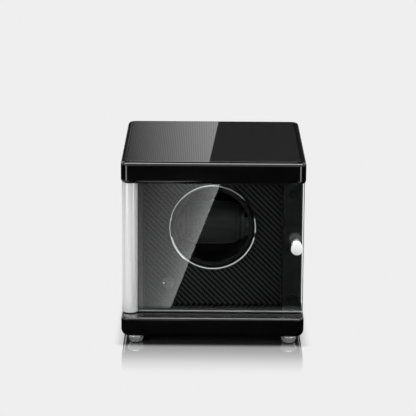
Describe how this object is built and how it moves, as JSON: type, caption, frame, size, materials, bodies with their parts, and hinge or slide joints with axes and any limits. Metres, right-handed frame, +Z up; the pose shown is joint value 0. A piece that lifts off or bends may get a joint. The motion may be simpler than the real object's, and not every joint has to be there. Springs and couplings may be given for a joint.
{
  "type": "watch winder box",
  "caption": "Lacquered winder box for a single watch, with a swinging glass door on a corner post, a geared turning cup with a pull-out cushion, and a program selector.",
  "frame": {"origin": "on the surface the box stands on, under the middle of the box", "axes": "+Z up, +Y towards the back, so the door faces -Y, and +X to the right as seen from the front"},
  "size_m": [0.1718, 0.2005, 0.1762],
  "materials": {
    "lacquer": "black high-gloss lacquer over fibreboard",
    "back_board": "black satin painted fibreboard",
    "carbon_weave": "glossy carbon-weave laminate",
    "chrome": "polished chrome plate",
    "post_metal": "polished aluminium",
    "door_glass": "clear polished glass",
    "clear_rubber": "clear soft plastic",
    "pad_rubber": "black rubber",
    "steel": "bright zinc-plated steel",
    "plate_metal": "plain rolled aluminium",
    "brass": "plain turned brass",
    "white_nylon": "natural nylon",
    "cup_plastic": "black satin moulded plastic",
    "black_plastic": "black moulded plastic",
    "white_dot": "white paint",
    "selector_steel": "turned steel",
    "board": "green circuit laminate",
    "bare_wood": "plain beech",
    "cushion_leather": "black grained leather-look fabric",
    "lead_cover": "black lead insulation"
  },
  "bodies": {
    "case": {"base_slab": "lacquer", "lid_slab": "lacquer", "lid_inlay": "carbon_weave", "feet": "chrome", "foot_pads": "pad_rubber", "foot_screws": "steel", "left_wall": "lacquer", "right_wall": "lacquer", "wall_dowels": "bare_wood", "back_panel": "back_board", "back_screws": "steel", "lower_hinge_bush": "black_plastic", "upper_hinge_bush": "black_plastic", "catch_magnet": "steel", "door_bumpers": "pad_rubber", "fascia": "carbon_weave", "fascia_battens": "bare_wood", "trim_ring": "chrome", "bearing_block": "plate_metal", "rotor_bushes": "brass", "block_screws": "steel", "drive_plate": "plate_metal", "plate_pillars": "brass", "pillar_screws": "steel", "gearbox": "black_plastic", "motor": "steel", "motor_screws": "steel", "selector_switch": "black_plastic", "selector_nut": "brass", "control_board": "board", "board_spacers": "white_nylon", "board_screws": "steel", "control_chip": "black_plastic", "capacitor": "black_plastic", "lead_plugs": "white_nylon", "power_jack": "black_plastic", "power_jack_nut": "brass", "motor_lead": "lead_cover", "power_lead": "lead_cover"},
    "door": {"hinge_post": "post_metal", "post_pins": "steel", "door_glass": "door_glass", "door_knob": "chrome", "knob_washers": "clear_rubber", "knob_screw": "steel"},
    "rotor": {"rotor_cup": "cup_plastic", "cushion_rails": "cup_plastic", "rotor_gear": "white_nylon", "gear_screws": "steel", "rotor_shaft": "steel", "shaft_clip": "steel"},
    "pinion": {"motor_pinion": "white_nylon", "motor_shaft": "steel"},
    "selector": {"selector_knob": "black_plastic", "selector_dot": "white_dot", "selector_shaft": "selector_steel"},
    "cushion": {"watch_cushion": "cushion_leather", "cushion_core": "cup_plastic", "cushion_ends": "cup_plastic"}
  },
  "joints": [
    {"name": "door_swing", "type": "hinge", "parent": "case", "child": "door", "pos_m": [-0.07785, -0.08, 0.0913], "axis": [0, 0, -1], "range_deg": [0, 110]},
    {"name": "rotor_spin", "type": "hinge", "parent": "case", "child": "rotor", "pos_m": [0, 0.021, 0.1027], "axis": [0, 1, 0], "continuous": true},
    {"name": "pinion_spin", "type": "hinge", "parent": "case", "child": "pinion", "pos_m": [0.02263, 0.021, 0.08007], "axis": [0, 1, 0], "continuous": true},
    {"name": "cushion_pull", "type": "slide", "parent": "rotor", "child": "cushion", "axis": [0, -1, 0], "range_m": [0, 0.018]},
    {"name": "selector_turn", "type": "hinge", "parent": "case", "child": "selector", "pos_m": [-0.04255, -0.049, 0.0497], "axis": [0, 1, 0], "range_deg": [0, 90]}
  ],
  "couplings": [
    {"joint": "pinion_spin", "follows": "rotor_spin", "ratio": -4}
  ]
}
